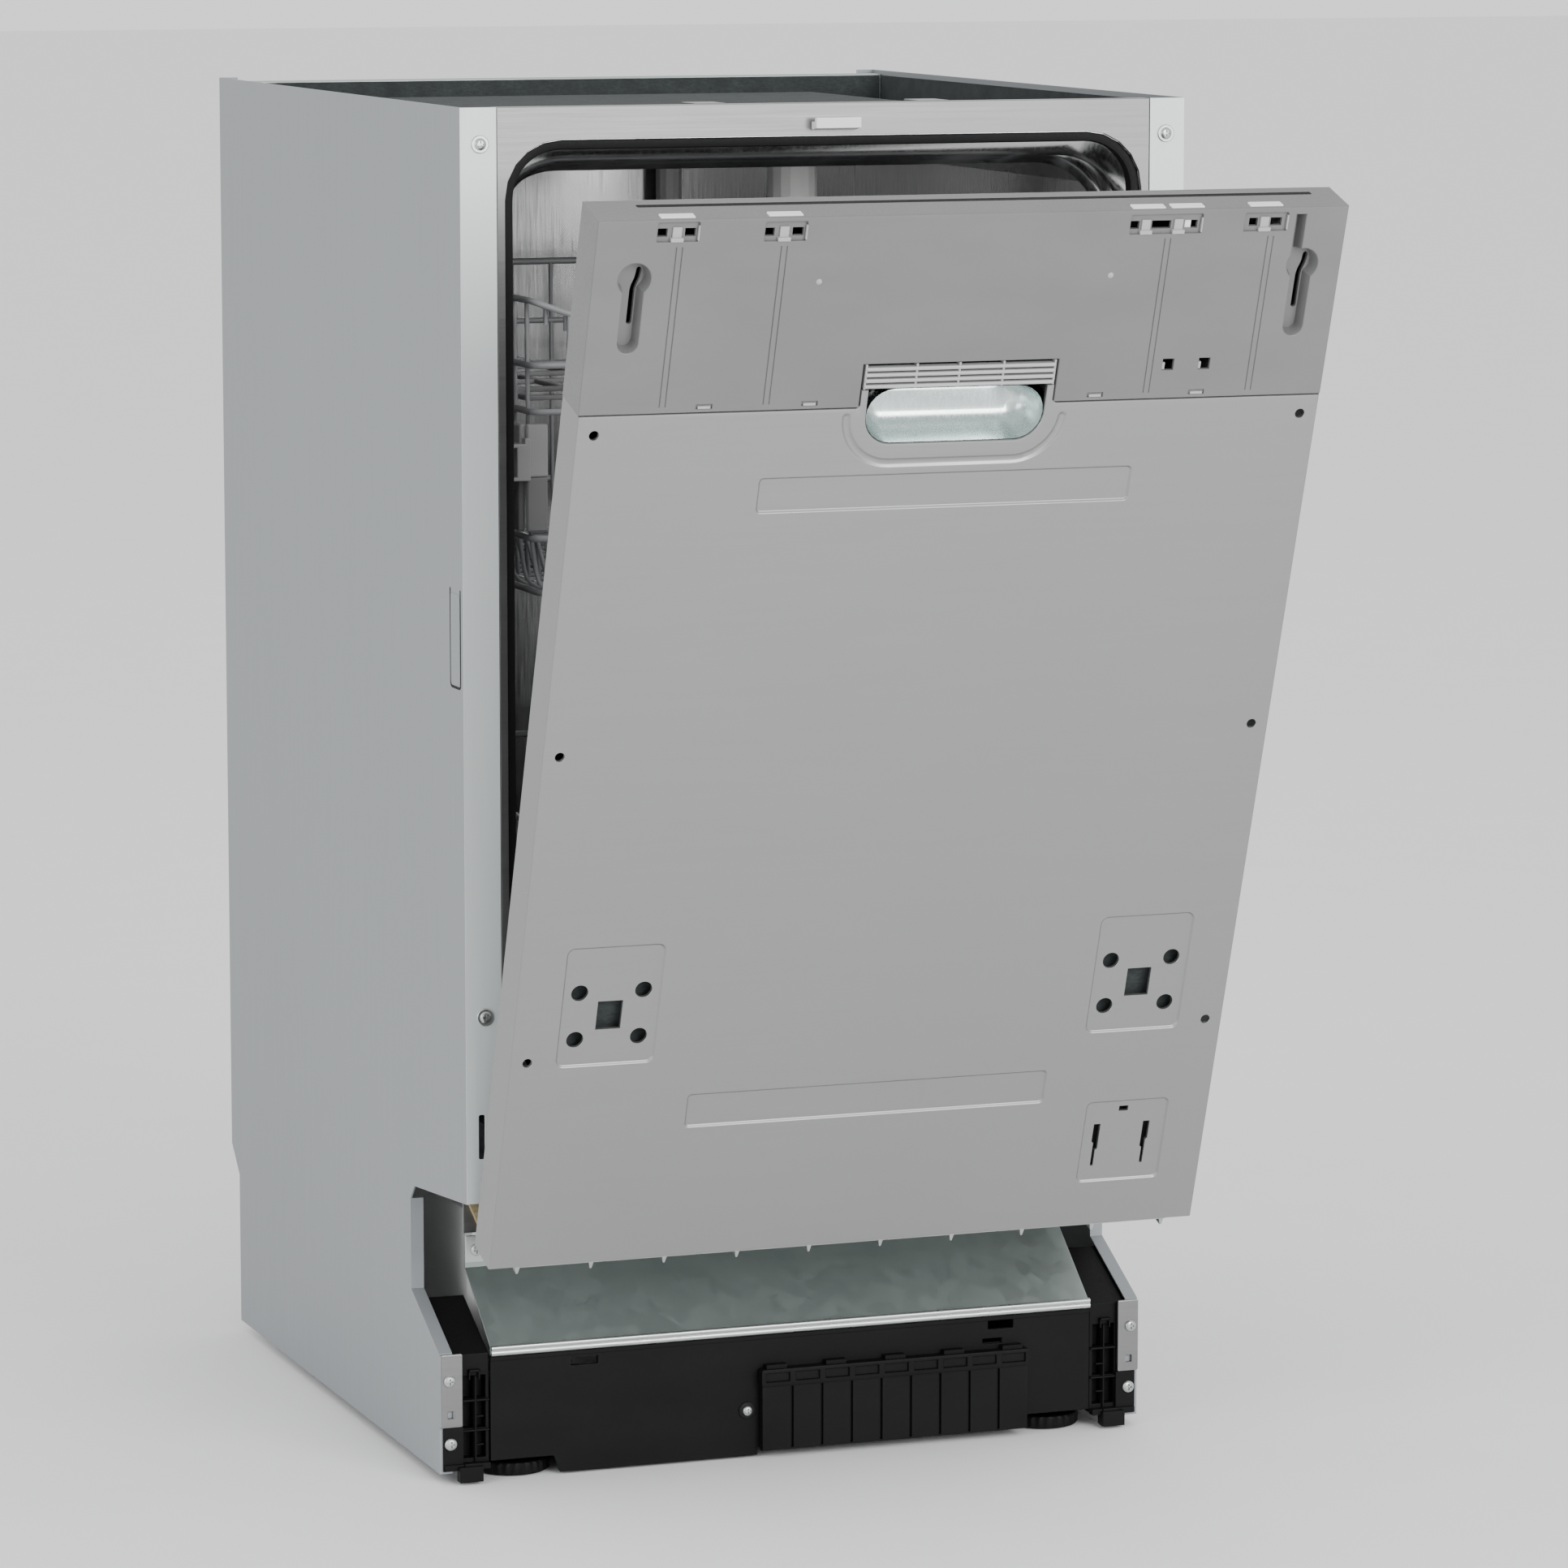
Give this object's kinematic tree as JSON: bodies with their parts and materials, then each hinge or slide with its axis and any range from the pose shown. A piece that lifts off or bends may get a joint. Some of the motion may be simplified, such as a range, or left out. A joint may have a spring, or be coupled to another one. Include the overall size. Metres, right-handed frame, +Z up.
{
  "type": "built-in dishwasher",
  "caption": "Slim fully integrated dishwasher with a tipping door, top-edge push buttons, two racks on rails and wheels, spray arms and a recessed toe space.",
  "frame": {"origin": "middle of the footprint on the floor, with the door ajar as stored", "axes": "+X to the machine's right as its user faces it, +Y to its rear, +Z up"},
  "size_m": [0.448, 0.7566, 0.815],
  "materials": {
    "black_plastic": "moulded, satin",
    "board": "circuit board",
    "brushed_steel": "satin rolled sheet",
    "coated_steel": "satin zinc-grey coated sheet",
    "console_plastic": "fine moulded grain",
    "felt": "pressed felt",
    "grey_plastic": "moulded",
    "rack_wire": "nylon-coated wire",
    "rubber": "matt extrusion",
    "tub_steel": "bright polished stainless sheet",
    "white_plastic": "moulded",
    "zinc_steel": "galvanised sheet"
  },
  "bodies": {
    "cabinet": {"left_side_panel": "coated_steel", "right_side_panel": "coated_steel", "front_frame": "brushed_steel", "tub": "tub_steel", "door_seal": "rubber", "insulation_blanket": "felt", "rear_panel": "zinc_steel", "latch_strike": "white_plastic", "toe_plate": "zinc_steel", "base_tray": "black_plastic", "ribbed_cover": "black_plastic", "front_post_left": "black_plastic", "front_post_right": "black_plastic", "sump": "black_plastic", "circulation_pump": "grey_plastic", "drain_pump": "grey_plastic", "softener": "white_plastic", "inlet_valve": "white_plastic", "drain_outlet": "black_plastic", "cord_inlet": "black_plastic", "air_break": "white_plastic", "spray_feed_pipe": "grey_plastic", "hinge_bracket_left": "zinc_steel", "hinge_bracket_right": "zinc_steel", "counterbalance_left": "zinc_steel", "counterbalance_right": "zinc_steel"},
    "door": {"door_outer_panel": "brushed_steel", "door_inner_panel": "tub_steel", "console_fascia": "console_plastic", "handle_pocket": "tub_steel", "control_board": "board", "door_latch": "black_plastic", "dispenser_housing": "grey_plastic", "hinge_arm_left": "zinc_steel", "hinge_arm_right": "zinc_steel", "door_bottom_trim": "zinc_steel", "door_insulation": "felt"},
    "button_power": {"button_power": "white_plastic"},
    "button_program": {"button_program": "white_plastic"},
    "button_delay": {"button_delay": "white_plastic"},
    "button_half_load": {"button_half_load": "white_plastic"},
    "button_start": {"button_start": "white_plastic"},
    "latch_hook": {"latch_hook": "white_plastic"},
    "dispenser_lid": {"dispenser_lid": "grey_plastic"},
    "rinse_cap": {"rinse_cap": "grey_plastic"},
    "filter": {"filter": "grey_plastic"},
    "salt_cap": {"salt_cap": "white_plastic"},
    "foot_front_left": {"foot_front_left": "black_plastic"},
    "foot_front_right": {"foot_front_right": "black_plastic"},
    "foot_rear": {"foot_rear": "black_plastic"},
    "lower_spray_arm": {"lower_spray_arm": "grey_plastic"},
    "upper_spray_arm": {"upper_spray_arm": "grey_plastic"},
    "cup_shelf": {"cup_shelf": "grey_plastic"},
    "upper_rack": {"upper_rack": "rack_wire"},
    "lower_rack": {"lower_rack": "rack_wire", "cutlery_basket": "grey_plastic"},
    "lower_wheel_front_left": {"lower_wheel_front_left": "grey_plastic"},
    "lower_wheel_front_right": {"lower_wheel_front_right": "grey_plastic"},
    "lower_wheel_rear_left": {"lower_wheel_rear_left": "grey_plastic"},
    "lower_wheel_rear_right": {"lower_wheel_rear_right": "grey_plastic"}
  },
  "joints": [
    {"name": "door_hinge", "type": "hinge", "parent": "cabinet", "child": "door", "pos_m": [0, -0.12368, 0.1606], "axis": [1, 0, 0], "range_deg": [-18.7, 71.3]},
    {"name": "upper_rack_slide", "type": "slide", "parent": "cabinet", "child": "upper_rack", "axis": [0, -1, 0], "range_m": [-0.04599, 0.17452]},
    {"name": "lower_rack_slide", "type": "slide", "parent": "cabinet", "child": "lower_rack", "axis": [0, -1, 0], "range_m": [-0.02967, 0.1123]},
    {"name": "wheel_front_left_spin", "type": "hinge", "parent": "lower_rack", "child": "lower_wheel_front_left", "pos_m": [-0.171, -0.00268, 0.1988], "axis": [1, 0, 0], "range_deg": [-114.2, 429.8]},
    {"name": "wheel_front_right_spin", "type": "hinge", "parent": "lower_rack", "child": "lower_wheel_front_right", "pos_m": [0.171, -0.00268, 0.1988], "axis": [1, 0, 0], "range_deg": [-114.2, 429.8]},
    {"name": "wheel_rear_left_spin", "type": "hinge", "parent": "lower_rack", "child": "lower_wheel_rear_left", "pos_m": [-0.171, 0.25632, 0.1988], "axis": [1, 0, 0], "range_deg": [-114.2, 429.8]},
    {"name": "wheel_rear_right_spin", "type": "hinge", "parent": "lower_rack", "child": "lower_wheel_rear_right", "pos_m": [0.171, 0.25632, 0.1988], "axis": [1, 0, 0], "range_deg": [-114.2, 429.8]},
    {"name": "button_power_press", "type": "slide", "parent": "door", "child": "button_power", "axis": [0, 0.3206, -0.9472], "range_m": [0, 0.0012], "stiffness_N_per_m": 400},
    {"name": "button_program_press", "type": "slide", "parent": "door", "child": "button_program", "axis": [0, 0.3206, -0.9472], "range_m": [0, 0.0012], "stiffness_N_per_m": 400},
    {"name": "button_delay_press", "type": "slide", "parent": "door", "child": "button_delay", "axis": [0, 0.3206, -0.9472], "range_m": [0, 0.0012], "stiffness_N_per_m": 400},
    {"name": "button_half_load_press", "type": "slide", "parent": "door", "child": "button_half_load", "axis": [0, 0.3206, -0.9472], "range_m": [0, 0.0012], "stiffness_N_per_m": 400},
    {"name": "button_start_press", "type": "slide", "parent": "door", "child": "button_start", "axis": [0, 0.3206, -0.9472], "range_m": [0, 0.0012], "stiffness_N_per_m": 400},
    {"name": "latch_hook_slide", "type": "slide", "parent": "door", "child": "latch_hook", "axis": [0, 0.3206, -0.9472], "range_m": [0, 0.004], "stiffness_N_per_m": 400},
    {"name": "dispenser_lid_slide", "type": "slide", "parent": "door", "child": "dispenser_lid", "axis": [0, -0.3206, 0.9472], "range_m": [0, 0.07]},
    {"name": "rinse_cap_turn", "type": "hinge", "parent": "door", "child": "rinse_cap", "pos_m": [0.036, -0.24336, 0.49952], "axis": [0, 0.9472, 0.3206], "range_deg": [0, 90]},
    {"name": "filter_turn", "type": "hinge", "parent": "cabinet", "child": "filter", "pos_m": [0.055, 0.19632, 0.1835], "axis": [0, 0, 1], "range_deg": [0, 90]},
    {"name": "salt_cap_turn", "type": "hinge", "parent": "cabinet", "child": "salt_cap", "pos_m": [-0.112, -0.00668, 0.1835], "axis": [0, 0, 1], "range_deg": [0, 360]},
    {"name": "foot_front_left_screw", "type": "slide", "parent": "cabinet", "child": "foot_front_left", "axis": [0, 0, -1], "range_m": [0, 0.03]},
    {"name": "foot_front_right_screw", "type": "slide", "parent": "cabinet", "child": "foot_front_right", "axis": [0, 0, -1], "range_m": [0, 0.03]},
    {"name": "foot_rear_screw", "type": "slide", "parent": "cabinet", "child": "foot_rear", "axis": [0, 0, -1], "range_m": [0, 0.03]},
    {"name": "lower_spray_arm_spin", "type": "hinge", "parent": "cabinet", "child": "lower_spray_arm", "pos_m": [0, 0.10132, 0.211], "axis": [0, 0, 1], "continuous": true},
    {"name": "upper_spray_arm_spin", "type": "hinge", "parent": "upper_rack", "child": "upper_spray_arm", "pos_m": [0, 0.08532, 0.511], "axis": [0, 0, 1], "continuous": true},
    {"name": "cup_shelf_fold", "type": "hinge", "parent": "upper_rack", "child": "cup_shelf", "pos_m": [-0.161, 0.08632, 0.6415], "axis": [0, -1, 0], "range_deg": [0, 80]}
  ],
  "couplings": [
    {"joint": "upper_rack_slide", "follows": "door_hinge", "m_per_rad": 0.14},
    {"joint": "lower_rack_slide", "follows": "door_hinge", "m_per_rad": 0.09},
    {"joint": "wheel_front_left_spin", "follows": "door_hinge", "ratio": 6},
    {"joint": "wheel_front_right_spin", "follows": "door_hinge", "ratio": 6},
    {"joint": "wheel_rear_left_spin", "follows": "door_hinge", "ratio": 6},
    {"joint": "wheel_rear_right_spin", "follows": "door_hinge", "ratio": 6}
  ]
}
